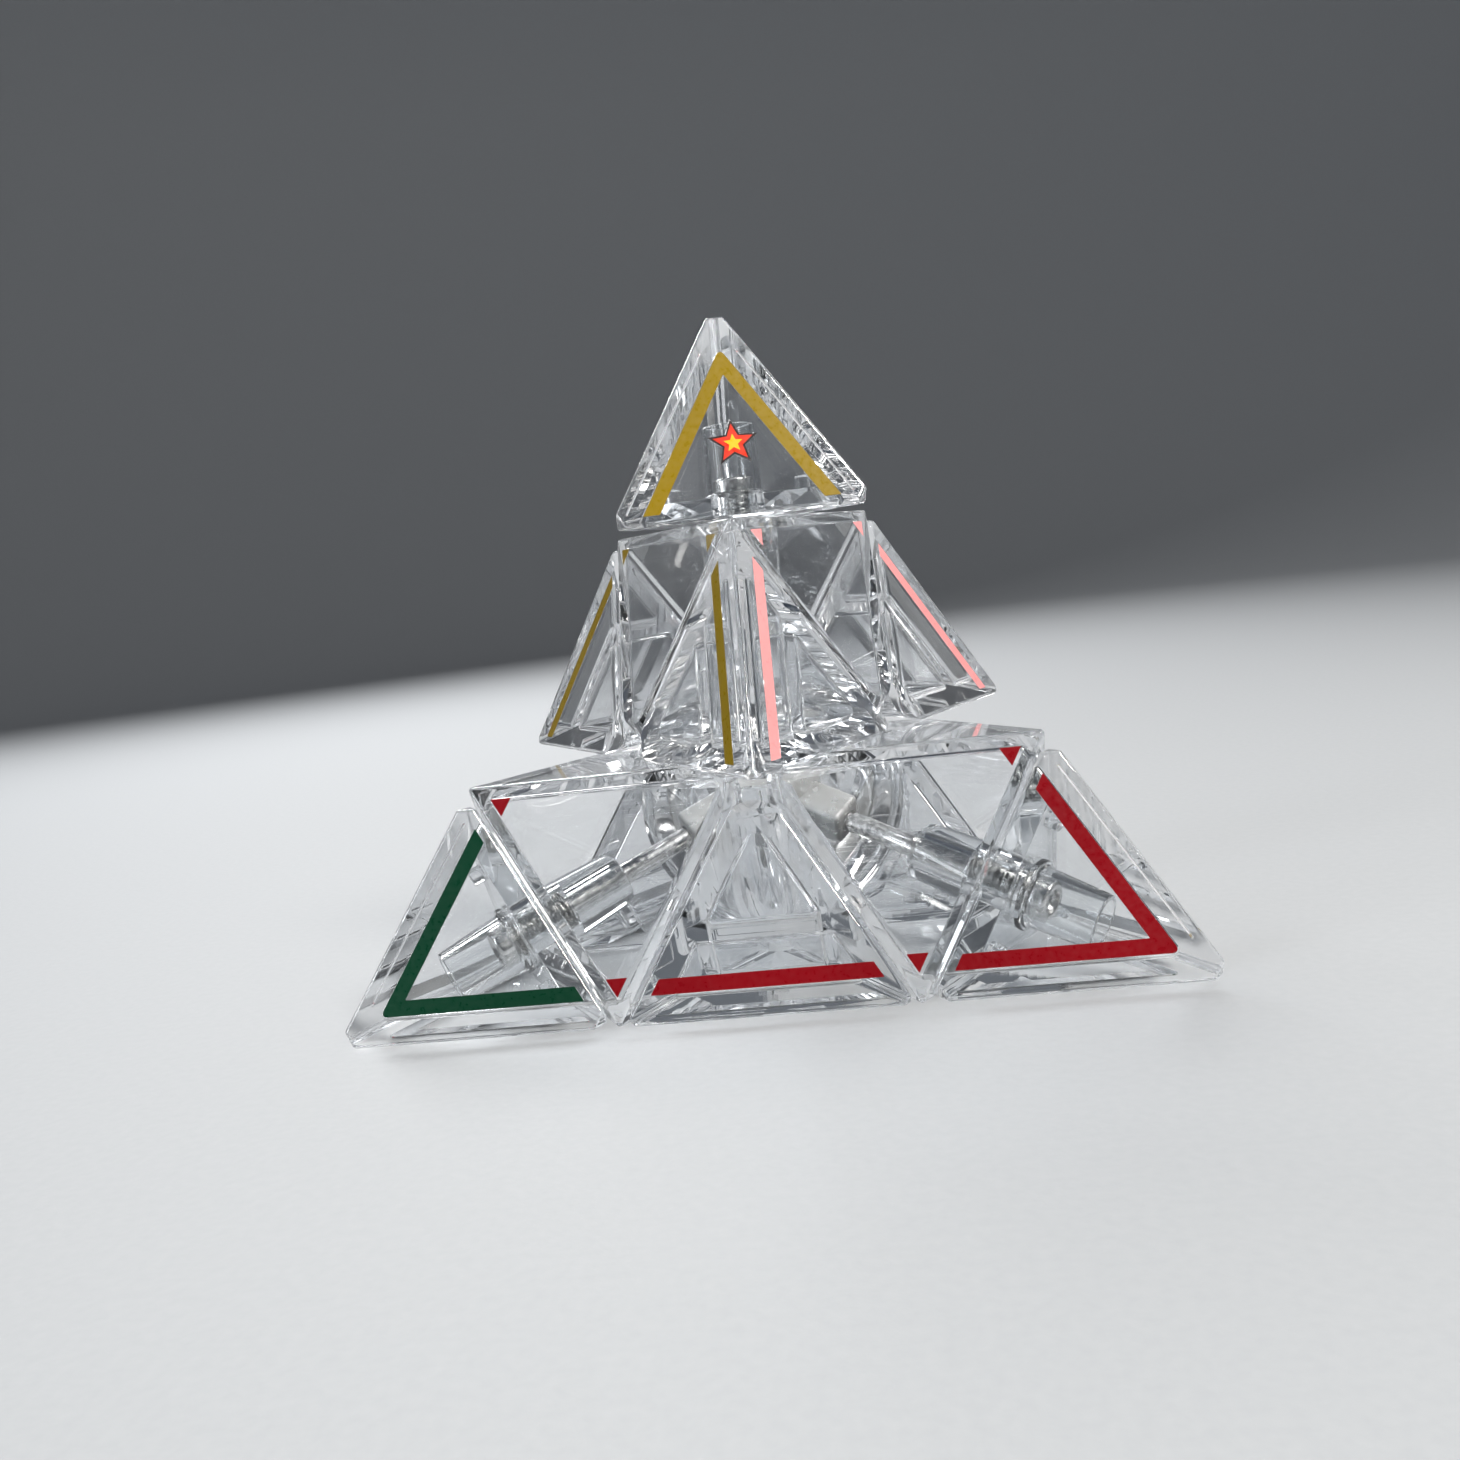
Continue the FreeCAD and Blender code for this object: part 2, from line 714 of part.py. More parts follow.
for name, (layer, first, second) in EDGES.items():
    solved = edge_rotation(first, second)
    add_node(f"{name}_edge_shell", edge_shell, stored(layer, solved))
    add_node(f"{name}_edge_foot", edge_foot, stored(layer, solved))
    add_strips("edge", layer, solved, [Rotation(), SWAP_EDGE_FACES])

screws = [copy_at(f"{corner}_screw", screw, stored("base", corner_rotation(corner))) for corner in CORNERS]
nodes["corner_screws"] = new("Part::Compound", "corner_screws", Links=screws)
for label, group in strip_groups.items():
    nodes[label] = new("Part::Compound", label, Links=group)
add_node("top_tip_emblem", emblem_film, stored("top_tip", THREE_TURNS[1]))


# ---------------------------------------------------------------- check and export

doc.recompute()
for item in doc.Objects:
    if "Invalid" in item.State or "Error" in item.State:
        raise RuntimeError(f"{item.Name} did not compute: {item.State} {item.getStatusString()}")
os.makedirs("parts", exist_ok=True)
for label, node in nodes.items():
    shape = node.Shape
    if shape.isNull() or not shape.isValid():
        raise RuntimeError(f"{label} has no valid shape")
    print(f"{label}: {len(shape.Solids)} solids, {shape.Volume:.2f} mm3")
    shape.exportStep(f"parts/{label}.step")
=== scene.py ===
"""Looks of the clear pyramid twisty puzzle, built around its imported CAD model.

Each kind of piece is built once in its home position, in the top corner or on the top left edge, and is
then carried to its place by the turns that are read from the frame. Lengths are in metres.
"""
import itertools
import math

import bmesh
import bpy
from mathutils import Euler, Matrix, Vector


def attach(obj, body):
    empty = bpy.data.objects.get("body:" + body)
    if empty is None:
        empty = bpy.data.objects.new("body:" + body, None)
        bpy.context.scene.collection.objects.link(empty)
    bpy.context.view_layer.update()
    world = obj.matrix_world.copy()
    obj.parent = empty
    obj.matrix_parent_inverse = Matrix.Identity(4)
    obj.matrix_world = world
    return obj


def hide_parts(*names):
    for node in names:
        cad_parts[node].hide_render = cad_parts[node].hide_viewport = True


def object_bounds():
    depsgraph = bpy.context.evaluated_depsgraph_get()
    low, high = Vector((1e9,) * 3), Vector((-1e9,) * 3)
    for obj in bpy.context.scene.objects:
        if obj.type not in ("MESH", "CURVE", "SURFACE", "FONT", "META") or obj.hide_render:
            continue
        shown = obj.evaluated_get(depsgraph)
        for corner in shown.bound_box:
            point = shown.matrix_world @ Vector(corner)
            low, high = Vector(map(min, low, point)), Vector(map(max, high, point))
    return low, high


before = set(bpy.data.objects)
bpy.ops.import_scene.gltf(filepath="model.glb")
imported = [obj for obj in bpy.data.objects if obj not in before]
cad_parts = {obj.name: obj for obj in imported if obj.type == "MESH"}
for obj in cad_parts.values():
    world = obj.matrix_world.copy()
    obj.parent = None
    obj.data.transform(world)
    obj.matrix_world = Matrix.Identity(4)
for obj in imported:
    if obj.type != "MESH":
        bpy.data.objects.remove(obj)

CAD_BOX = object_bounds()

MM = 0.001
# How far a cut runs past the surface that it opens.
OVERCUT = 1 * MM
# Distances under which two points, or a point and a plane, count as one.
SAME_POINT = 1e-7
ON_PLANE = 1e-8

# Whole puzzle. The base plane is a quarter of the pyramid's height under the core.
HEIGHT = -4 * CAD_BOX[0].z
EDGE = HEIGHT * math.sqrt(3 / 2)
THIRD = HEIGHT / 3
FACE_HEIGHT = EDGE * math.sqrt(3) / 2
HALF_GAP = 0.15 * MM
INNER_CUT = THIRD + HALF_GAP
OUTER_CUT = 2 * THIRD + HALF_GAP
TIP_PLANE = HEIGHT * 5 / 12

# Clear pieces
WALL = 1.8 * MM
# A hair more than the CAD model's, which keeps the corners inside its box.
EDGE_ROUND = 0.51 * MM
INNER_ROUND = 4.9 * MM
VERTEX_ROUND = 4.5 * MM
CAVITY_ROUND = 0.8 * MM
WEB_START = 25.0 * MM
WEB_THICKNESS = 0.8 * MM
FIT = 0.05 * MM
TIP_BLUNTING = 2.3 * MM
EDGE_BLUNTING = 1.4 * MM
# Small roundings where moulded plates and feet meet their sides, and where the shells meet their cuts.
PLATE_ROUND = 0.2 * MM
FOOT_SIDE_ROUND = 0.4 * MM
FOOT_RIM_ROUND = 0.3 * MM
AXIAL_RIM_ROUND = 0.3 * MM
EDGE_RIM_ROUND = 0.35 * MM
TRACK_RADIUS = 17.0 * MM
TRACK_GAP = 0.3 * MM
FOOT_REACH = 3.6 * MM

# Parts on a corner's axis, as distances from the core's centre
CORE_RADIUS = 6.6 * MM
ARM_WIDTH = 4.6 * MM
ARM_LENGTH = 12.0 * MM
ARM_ROUND = 0.6 * MM
CAP_FACE = TIP_PLANE - HALF_GAP
CAP_THICKNESS = 1.8 * MM
BOSS_LENGTH = 11.6 * MM
BOSS_END = CAP_FACE - BOSS_LENGTH
BOSS_FLOOR = 7.4 * MM
BOSS_ROOT_RADIUS = 3.9 * MM
BOSS_END_RADIUS = 3.4 * MM
BOSS_BORE_RADIUS = 2.7 * MM
BOSS_END_ROUND = 1.2 * MM
SOCKET_DEPTH = 2.0 * MM
PLATE_FACE = TIP_PLANE + HALF_GAP
PLATE_THICKNESS = 2.4 * MM
PEG_RADIUS = 1.0 * MM
PEG_LENGTH = 1.6 * MM
PEG_OFFSET = 9.0 * MM
PLAY = 0.1 * MM
FLANGE_START = PLATE_FACE + PLATE_THICKNESS + PLAY
FLANGE_END = FLANGE_START + 0.8 * MM
FLANGE_RADIUS = 4.2 * MM
NECK_RADIUS = 3.15 * MM
POST_BORE_RADIUS = 2.65 * MM
POST_ROOT_RADIUS = 3.6 * MM
POST_END_RADIUS = 3.2 * MM
POST_END = FLANGE_END + 7.9 * MM
SHANK_RADIUS = 1.3 * MM
SHANK_PLAY = 0.2 * MM
SCREW_START = 4.0 * MM
HEAD_RADIUS = 2.5 * MM
HEAD_HEIGHT = 2.0 * MM
HEAD_ROUND = 0.5 * MM
DRIVER_RADIUS = 1.44 * MM
DRIVER_DEPTH = 1.1 * MM
THREAD_PITCH = 0.45 * MM
THREAD_DEPTH = 0.14 * MM
THREAD_END = ARM_LENGTH + 1.5 * MM
WIRE_RADIUS = 0.25 * MM
SPRING_RADIUS = 2.15 * MM
SPRING_PITCH = 0.8 * MM

# Colour strips, let into the faces. NEAR and FAR are distances from a face's side, and MARGIN is the one
# from the cut between two pieces.
STRIP_NEAR = 3.3 * MM
STRIP_FAR = 5.0 * MM
STRIP_MARGIN = 1.55 * MM
TRIANGLE_FAR = 5.45 * MM
TRIANGLE_MARGIN = 1.7 * MM
STRIP_DEPTH = 0.01 * MM
STRIP_THICKNESS = 0.12 * MM
RECESS_DEPTH = 0.15 * MM
RECESS_PLAY = 0.02 * MM
STRIP_ROUND = 0.12 * MM
CHEVRON_ROUND = 0.9 * MM

# Emblem: a star of three inks, each smaller and higher than the one under it
EMBLEM_RADIUS = 3.1 * MM
EMBLEM_SHARES = {"outline": 1.0, "star": 0.8, "middle": 0.38}
STAR_WAIST = 0.45
STAR_RECESS_ROUND = 0.05 * MM
INK_ROUND = 0.03 * MM
INK_STEP = 0.008 * MM

UP = Vector((0, 0, 1))


def corner_point(azimuth):
    angle = math.radians(azimuth)
    radius = EDGE / math.sqrt(3)
    return Vector((radius * math.cos(angle), radius * math.sin(angle), -HEIGHT / 4))


CORNERS = {
    "top": Vector((0, 0, 3 * HEIGHT / 4)),
    "left": corner_point(-150),
    "right": corner_point(-30),
    "back": corner_point(90),
}
# The outward direction of each face: base, right back, left back and front.
FACE_NORMALS = [-CORNERS[corner].normalized() for corner in ("top", "left", "right", "back")]
FRONT = FACE_NORMALS[3]
THREE_TURNS = [Matrix.Rotation(math.radians(120 * step), 4, UP) for step in range(3)]


# ---------------------------------------------------------------- mesh tools

def mesh_from_bmesh(name, bm):
    mesh = bpy.data.meshes.new(name)
    bm.to_mesh(mesh)
    bm.free()
    return mesh


def moved(mesh, matrix):
    copy = mesh.copy()
    copy.transform(matrix)
    return copy


def turned_copies(mesh, turns):
    return [moved(mesh, turn) for turn in turns]


def evaluated(name, mesh, set_up):
    """mesh with the modifiers that set_up adds to a temporary object."""
    holder = bpy.data.objects.new("holder", mesh)
    bpy.context.scene.collection.objects.link(holder)
    set_up(holder)
    bpy.context.view_layer.update()
    graph = bpy.context.evaluated_depsgraph_get()
    result = bpy.data.meshes.new_from_object(holder.evaluated_get(graph))
    result.name = name
    bpy.data.objects.remove(holder)
    return result


def combine(first, second, operation):
    """A boolean of two meshes."""
    other = bpy.data.objects.new("other", second)
    bpy.context.scene.collection.objects.link(other)

    def set_up(holder):
        modifier = holder.modifiers.new("boolean", "BOOLEAN")
        modifier.operation = operation
        modifier.solver = "EXACT"
        modifier.object = other

    result = evaluated(first.name, first, set_up)
    bpy.data.objects.remove(other)
    return result


def finished(mesh, sharp_angle=32):
    """Smooth shading on the roundings and true flats between them."""
    mesh.polygons.foreach_set("use_smooth", [True] * len(mesh.polygons))
    mesh.set_sharp_from_angle(angle=math.radians(sharp_angle))

    def set_up(holder):
        modifier = holder.modifiers.new("normals", "WEIGHTED_NORMAL")
        modifier.keep_sharp = True
        modifier.weight = 100

    return evaluated(mesh.name, mesh, set_up)


def without(mesh, *tools):
    """mesh less every tool."""
    for tool in tools:
        mesh = combine(mesh, tool, "DIFFERENCE")
    return finished(mesh)


def region(insets, reaches=(None, None, None, None)):
    """Planes that bound the space beyond insets, and short of reaches, inside the pyramid's four faces."""
    planes = []
    for normal, inset, reach in zip(FACE_NORMALS, insets, reaches):
        if inset is not None:
            planes.append((normal, HEIGHT / 4 - inset))
        if reach is not None:
            planes.append((-normal, reach - HEIGHT / 4))
    return planes


def corners_of(planes):
    """The corners of the convex solid between planes, each an outward direction and a distance."""
    corners = []
    for trio in itertools.combinations(planes, 3):
        rows = Matrix([normal for normal, distance in trio])
        if abs(rows.determinant()) < 1e-6:
            continue
        point = rows.inverted() @ Vector([distance for normal, distance in trio])
        inside = all(normal.dot(point) < distance + ON_PLANE for normal, distance in planes)
        if inside and all((point - other).length > SAME_POINT for other in corners):
            corners.append(point)
    return corners


def spread(first, second, third, halvings):
    """Directions evenly over the spherical triangle between three directions."""
    if halvings == 0:
        return [first, second, third]
    one = (first + second).normalized()
    two = (second + third).normalized()
    three = (third + first).normalized()
    found = []
    for trio in ((first, one, three), (one, second, two), (three, two, third), (one, two, three)):
        found += spread(*trio, halvings - 1)
    return found


def solid(name, planes, radius, halvings=3):
    """The convex solid between planes with its edges and corners rounded to a radius."""
    inner = [(normal, distance - radius) for normal, distance in planes]
    points = []
    for corner in corners_of(inner):
        faces = [normal for normal, distance in inner if abs(normal.dot(corner) - distance) < SAME_POINT]
        middle = sum(faces, Vector()).normalized()
        across = faces[0].cross(middle).normalized()
        upward = middle.cross(across)
        faces.sort(key=lambda normal: math.atan2(normal.dot(across), normal.dot(upward)))
        for second, third in zip(faces[1:], faces[2:]):
            for direction in spread(faces[0], second, third, halvings):
                points.append(corner + direction * radius)
    bm = bmesh.new()
    for point in points:
        bm.verts.new(point)
    bmesh.ops.remove_doubles(bm, verts=bm.verts, dist=SAME_POINT)
    hull = bmesh.ops.convex_hull(bm, input=bm.verts)
    unused = [item for item in hull["geom_interior"] if isinstance(item, bmesh.types.BMVert)]
    bmesh.ops.delete(bm, geom=unused, context="VERTS")
    bmesh.ops.dissolve_limit(bm, angle_limit=math.radians(0.3), verts=bm.verts, edges=bm.edges)
    bmesh.ops.recalc_face_normals(bm, faces=bm.faces)
    return mesh_from_bmesh(name, bm)


def softened(mesh, width, angle=50):
    """mesh with a small rounding along every edge sharper than an angle."""
    def set_up(holder):
        modifier = holder.modifiers.new("bevel", "BEVEL")
        modifier.limit_method = "ANGLE"
        modifier.angle_limit = math.radians(angle)
        modifier.width = width
        modifier.segments = 3

    return evaluated(mesh.name, mesh, set_up)


def lathe(name, profile, steps=48):
    """A closed solid of revolution about the corner's axis, from (radius, height) points in order."""
    bm = bmesh.new()
    rings = []
    for radius, height in profile:
        if radius == 0:
            rings.append([bm.verts.new((0, 0, height))])
            continue
        ring = []
        for step in range(steps):
            angle = 2 * math.pi * step / steps
            ring.append(bm.verts.new((radius * math.cos(angle), radius * math.sin(angle), height)))
        rings.append(ring)
    closed = profile[0][0] > 0
    last = len(rings) if closed else len(rings) - 1
    for index in range(last):
        lower = rings[index]
        upper = rings[(index + 1) % len(rings)]
        for step in range(steps):
            following = (step + 1) % steps
            corners = [
                lower[step % len(lower)],
                lower[following % len(lower)],
                upper[following % len(upper)],
                upper[step % len(upper)],
            ]
            # A ring of one point, on the axis, gives triangles.
            bm.faces.new(list(dict.fromkeys(corners)))
    bmesh.ops.recalc_face_normals(bm, faces=bm.faces)
    return mesh_from_bmesh(name, bm)


def rounded_corner(centre_radius, centre_height, radius, start, end, steps=5):
    """Points of an arc in a lathe's profile, from one angle to another in degrees."""
    points = []
    for step in range(steps + 1):
        angle = math.radians(start + (end - start) * step / steps)
        points.append((centre_radius + radius * math.cos(angle), centre_height + radius * math.sin(angle)))
    return points


def ball(name, radius, steps=96):
    profile = [(0, -radius)]
    for step in range(1, steps // 2):
        angle = -math.pi / 2 + 2 * math.pi * step / steps
        profile.append((radius * math.cos(angle), radius * math.sin(angle)))
    profile.append((0, radius))
    return lathe(name, profile, steps)


def cylinder(name, radius, start, end, steps=48):
    return lathe(name, [(0, start), (radius, start), (radius, end), (0, end)], steps)


# ---------------------------------------------------------------- pieces in their home positions

def tip_shell_mesh(recesses):
    """A hollow tetrahedron with blunted corners, open below."""
    reach = HEIGHT - OUTER_CUT - TIP_BLUNTING
    walls = region((OUTER_CUT, 0, 0, 0), (HEIGHT - TIP_BLUNTING, reach, reach, reach))
    outside = solid("tip_shell", walls, EDGE_ROUND)
    inside = solid("tip_hollow", region((OUTER_CUT - 4 * OVERCUT, WALL, WALL, WALL)), CAVITY_ROUND)
    return without(outside, inside, *recesses)


def tip_plate_mesh():
    """The plate that closes a tip and turns on the post, with a peg in each corner."""
    side = WALL + FIT
    body = solid("tip_plate", region((OUTER_CUT - 4 * OVERCUT, side, side, side)), CAVITY_ROUND)
    face = PLATE_FACE + PLATE_THICKNESS
    slab = cylinder("slab", EDGE, PLATE_FACE, face)
    blank = softened(combine(body, slab, "INTERSECT"), PLATE_ROUND)
    peg_end = face + PEG_LENGTH
    peg = [(0, face - OVERCUT), (PEG_RADIUS, face - OVERCUT)]
    peg += rounded_corner(PEG_RADIUS - PLATE_ROUND, peg_end - PLATE_ROUND, PLATE_ROUND, 0, 90)
    peg += [(0, peg_end)]
    outer_peg = moved(lathe("peg", peg, 32), Matrix.Translation((0, PEG_OFFSET, 0)))
    for turn in THREE_TURNS:
        blank = combine(blank, moved(outer_peg, turn), "UNION")
    hole = cylinder("plate_hole", NECK_RADIUS + PLAY, PLATE_FACE - OVERCUT, FLANGE_START + OVERCUT, 64)
    return without(blank, hole)


def post_mesh():
    """The clear tube that the tip turns on, with the flange that holds the tip."""
    start = CAP_FACE - SOCKET_DEPTH
    chamfer = 0.2 * MM
    profile = [
        (POST_BORE_RADIUS, start),
        (NECK_RADIUS - chamfer, start),
        (NECK_RADIUS, start + chamfer),
        (NECK_RADIUS, FLANGE_START),
    ]
    profile += rounded_corner(FLANGE_RADIUS - chamfer, FLANGE_START + chamfer, chamfer, -90, 0)
    profile += rounded_corner(FLANGE_RADIUS - chamfer, FLANGE_END - chamfer, chamfer, 0, 90)
    profile += [(POST_ROOT_RADIUS + chamfer, FLANGE_END), (POST_ROOT_RADIUS, FLANGE_END + chamfer)]
    profile += rounded_corner(POST_END_RADIUS - chamfer, POST_END - chamfer, chamfer, 0, 90)
    profile += [(POST_BORE_RADIUS, POST_END)]
    return finished(lathe("post", profile, 64))


def axial_shell_mesh(recesses):
    """A hollow octahedron, open towards the tip and cut back to the track around the core."""
    side = THIRD - HALF_GAP
    top = 2 * THIRD - HALF_GAP
    walls = region((INNER_CUT, 0, 0, 0), (top, side, side, side))
    rim = region((None,) * 4, (top + 3 * VERTEX_ROUND, side, side, side))
    blank = combine(
        solid("axial_shell", walls, EDGE_ROUND),
        solid("axial_rim", rim, VERTEX_ROUND, 4),
        "INTERSECT",
    )
    outside = softened(blank, AXIAL_RIM_ROUND, 30)
    inner = side - WALL
    start = INNER_CUT - 2 * OVERCUT
    end = top + 2 * OVERCUT
    hollow = region((start, WALL, WALL, WALL), (end, inner, inner, inner))
    inside = solid("axial_hollow", hollow, CAVITY_ROUND)
    return without(outside, inside, ball("track", TRACK_RADIUS + TRACK_GAP, 160), *recesses)


def axial_cap_mesh():
    """The plate at the axial's outer end, with the boss that holds the spring."""
    base = HEIGHT / 4
    near = WALL + FIT
    far = THIRD - HALF_GAP - WALL - FIT
    walls = region((CAP_FACE - CAP_THICKNESS + base, near, near, near), (CAP_FACE + base, far, far, far))
    blank = solid("axial_cap", walls, PLATE_ROUND)
    profile = [(0, BOSS_END)]
    centre_radius = BOSS_END_RADIUS - BOSS_END_ROUND
    profile += rounded_corner(centre_radius, BOSS_END + BOSS_END_ROUND, BOSS_END_ROUND, -90, 0)
    root = CAP_FACE - 0.5 * MM
    profile += [(BOSS_ROOT_RADIUS, root), (0, root)]
    blank = combine(blank, lathe("boss", profile, 64), "UNION")
    bore = [
        (0, BOSS_END - OVERCUT),
        (SHANK_RADIUS + SHANK_PLAY, BOSS_END - OVERCUT),
        (SHANK_RADIUS + SHANK_PLAY, BOSS_END + BOSS_FLOOR),
        (BOSS_BORE_RADIUS, BOSS_END + BOSS_FLOOR),
        (BOSS_BORE_RADIUS, CAP_FACE - SOCKET_DEPTH),
        (NECK_RADIUS + FIT, CAP_FACE - SOCKET_DEPTH),
        (NECK_RADIUS + FIT, CAP_FACE + OVERCUT),
        (0, CAP_FACE + OVERCUT),
    ]
    return without(blank, lathe("bore", bore, 64))


def edge_room(name, *limits):
    """Part of an edge's hollow, with the side that points at the core rounded like the outside."""
    inner = INNER_CUT + WALL
    radius = INNER_ROUND - WALL
    ridge = solid(f"{name}_ridge", region((inner, inner, -3 * radius, -3 * radius)), radius, 4)
    room = solid(name, region((inner, inner, WALL, WALL)) + list(limits), CAVITY_ROUND)
    return combine(room, ridge, "INTERSECT")


def edge_shell_mesh(recesses):
    """A hollow tetrahedron on the top left edge with a web across it, cut back to the track."""
    reach = HEIGHT - INNER_CUT - EDGE_BLUNTING
    walls = region((INNER_CUT, INNER_CUT, 0, 0), (reach, reach, None, None))
    inner_edge = region((INNER_CUT, INNER_CUT, -3 * INNER_ROUND, -3 * INNER_ROUND))
    blank = combine(
        solid("edge_shell", walls, EDGE_ROUND),
        solid("inner_edge", inner_edge, INNER_ROUND, 4),
        "INTERSECT",
    )
    outside = softened(blank, EDGE_RIM_ROUND, 40)
    outward = (CORNERS["top"] + CORNERS["left"]).normalized()
    outer_room = edge_room("outer_room", (-outward, -WEB_START - WEB_THICKNESS))
    inner_room = edge_room("inner_room", (outward, WEB_START))
    return without(outside, outer_room, inner_room, ball("track", TRACK_RADIUS + FIT, 160), *recesses)


def edge_foot_mesh():
    """The solid foot under an edge, which reaches under its neighbours inside the track."""
    reach = THIRD - FOOT_REACH + HALF_GAP
    short = THIRD - FOOT_REACH - HALF_GAP
    walls = region((reach, reach, 0, 0), (None, None, short, short))
    wedge = solid("edge_foot", walls, FOOT_SIDE_ROUND)
    lens = softened(combine(wedge, ball("track", TRACK_RADIUS, 160), "INTERSECT"), FOOT_RIM_ROUND)
    return without(lens, ball("core_room", CORE_RADIUS + TRACK_GAP, 96))


def corner_rotation(corner):
    """The rotation that carries the top corner's pieces to another corner of the solved puzzle."""
    if corner == "top":
        return Matrix.Identity(4)
    return Matrix.Rotation(math.pi, 4, (CORNERS["top"] + CORNERS[corner]).normalized())


def core_mesh():
    """A ball with four square arms, drilled for the screws."""
    sides = (Vector((1, 0, 0)), Vector((-1, 0, 0)), Vector((0, 1, 0)), Vector((0, -1, 0)))
    walls = [(side, ARM_WIDTH / 2) for side in sides] + [(UP, ARM_LENGTH), (-UP, 0)]
    arm = solid("arm", walls, ARM_ROUND)
    hole = cylinder("hole", SHANK_RADIUS + FIT, SCREW_START - PLAY, ARM_LENGTH + OVERCUT)
    core = ball("core", CORE_RADIUS)
    for corner in CORNERS:
        core = combine(core, moved(arm, corner_rotation(corner)), "UNION")
    for corner in CORNERS:
        core = combine(core, moved(hole, corner_rotation(corner)), "DIFFERENCE")
    return finished(core)


def screw_mesh():
    """A round-headed screw with a hexagonal socket, threaded where it enters the core."""
    profile = [(0, SCREW_START), (SHANK_RADIUS - THREAD_DEPTH, SCREW_START)]
    height = SCREW_START + THREAD_PITCH / 2
    while height < THREAD_END:
        profile.append((SHANK_RADIUS, height))
        profile.append((SHANK_RADIUS - THREAD_DEPTH, height + THREAD_PITCH / 2))
        height += THREAD_PITCH
    plain_radius = SHANK_RADIUS - 0.02 * MM
    head_chamfer = 0.1 * MM
    end = FLANGE_END + HEAD_HEIGHT
    profile += [(plain_radius, height), (plain_radius, FLANGE_END)]
    profile += [(HEAD_RADIUS - head_chamfer, FLANGE_END), (HEAD_RADIUS, FLANGE_END + head_chamfer)]
    profile += rounded_corner(HEAD_RADIUS - HEAD_ROUND, end - HEAD_ROUND, HEAD_ROUND, 0, 90)
    profile += [(0, end)]
    driver = cylinder("driver", DRIVER_RADIUS, end - DRIVER_DEPTH, end + OVERCUT, 6)
    return finished(combine(lathe("screw", profile), driver, "DIFFERENCE"))


def spring_mesh(sides=10, steps=28):
    """A round-wire spring whose end turns lie close."""
    first = BOSS_END + BOSS_FLOOR + WIRE_RADIUS + PLAY
    last = FLANGE_END - WIRE_RADIUS - PLAY
    close_pitch = 2.1 * WIRE_RADIUS
    open_turns = round((last - first - 2 * close_pitch) / SPRING_PITCH)
    open_pitch = (last - first - 2 * close_pitch) / open_turns
    bm = bmesh.new()
    rings = []
    for index in range((open_turns + 2) * steps + 1):
        turn = index / steps
        height = first + close_pitch * min(turn, 1)
        height += open_pitch * min(max(turn - 1, 0), open_turns)
        height += close_pitch * max(turn - 1 - open_turns, 0)
        angle = 2 * math.pi * turn
        ring = []
        for side in range(sides):
            around = 2 * math.pi * side / sides
            radius = SPRING_RADIUS + WIRE_RADIUS * math.cos(around)
            rise = WIRE_RADIUS * math.sin(around)
            ring.append(bm.verts.new((radius * math.cos(angle), radius * math.sin(angle), height + rise)))
        rings.append(ring)
    for lower, upper in zip(rings, rings[1:]):
        for side in range(sides):
            following = (side + 1) % sides
            bm.faces.new((lower[side], lower[following], upper[following], upper[side]))
    bm.faces.new(rings[0])
    bm.faces.new(rings[-1])
    bmesh.ops.recalc_face_normals(bm, faces=bm.faces)
    return finished(mesh_from_bmesh("spring", bm), 50)


# ---------------------------------------------------------------- colour strips

def on_front_face(from_base=None, from_right=None, from_left=None):
    """A point on the front face, from its distances to two of the face's three sides."""
    if from_base is None:
        from_base = FACE_HEIGHT - from_right - from_left
    if from_right is None:
        from_right = FACE_HEIGHT - from_base - from_left
    if from_left is None:
        from_left = FACE_HEIGHT - from_base - from_right
    weighted = CORNERS["top"] * from_base + CORNERS["left"] * from_right + CORNERS["right"] * from_left
    return weighted / FACE_HEIGHT


def strip_outlines(grow):
    """The outlines on the front face of a tip, an edge and an axial, each in its home position."""
    near = STRIP_NEAR - grow
    far = STRIP_FAR + grow
    third = FACE_HEIGHT / 3
    margin = STRIP_MARGIN - grow
    triangle_far = TRIANGLE_FAR + grow
    low = third - TRIANGLE_MARGIN + grow
    high = 2 * third - TRIANGLE_MARGIN + grow
    tip = [
        on_front_face(from_right=near, from_left=near),
        on_front_face(from_base=2 * third + margin, from_left=near),
        on_front_face(from_base=2 * third + margin, from_left=far),
        on_front_face(from_right=far, from_left=far),
        on_front_face(from_base=2 * third + margin, from_right=far),
        on_front_face(from_base=2 * third + margin, from_right=near),
    ]
    edge = [
        on_front_face(from_base=third + margin, from_left=near),
        on_front_face(from_base=third + margin, from_left=far),
        on_front_face(from_right=third + margin, from_left=far),
        on_front_face(from_right=third + margin, from_left=near),
    ]
    axial_left = [
        on_front_face(from_base=high, from_right=low),
        on_front_face(from_base=high, from_left=triangle_far),
        on_front_face(from_right=low, from_left=triangle_far),
    ]
    axial_right = [
        on_front_face(from_base=high, from_left=low),
        on_front_face(from_base=high, from_right=triangle_far),
        on_front_face(from_left=low, from_right=triangle_far),
    ]
    return {"tip": [tip], "edge": [edge], "axial": [axial_left, axial_right]}


def star(outer):
    """The outline of a plain five-pointed star in the middle of a tip's front face."""
    third = FACE_HEIGHT / 3
    middle = on_front_face(from_base=2 * third + third / 3, from_left=third / 3)
    across = (CORNERS["right"] - CORNERS["left"]).normalized()
    upward = (CORNERS["top"] - on_front_face(from_base=0, from_left=FACE_HEIGHT / 2)).normalized()
    points = []
    for step in range(10):
        radius = outer if step % 2 == 0 else outer * STAR_WAIST
        angle = math.radians(90 + 36 * step)
        points.append(middle + across * radius * math.cos(angle) + upward * radius * math.sin(angle))
    return points


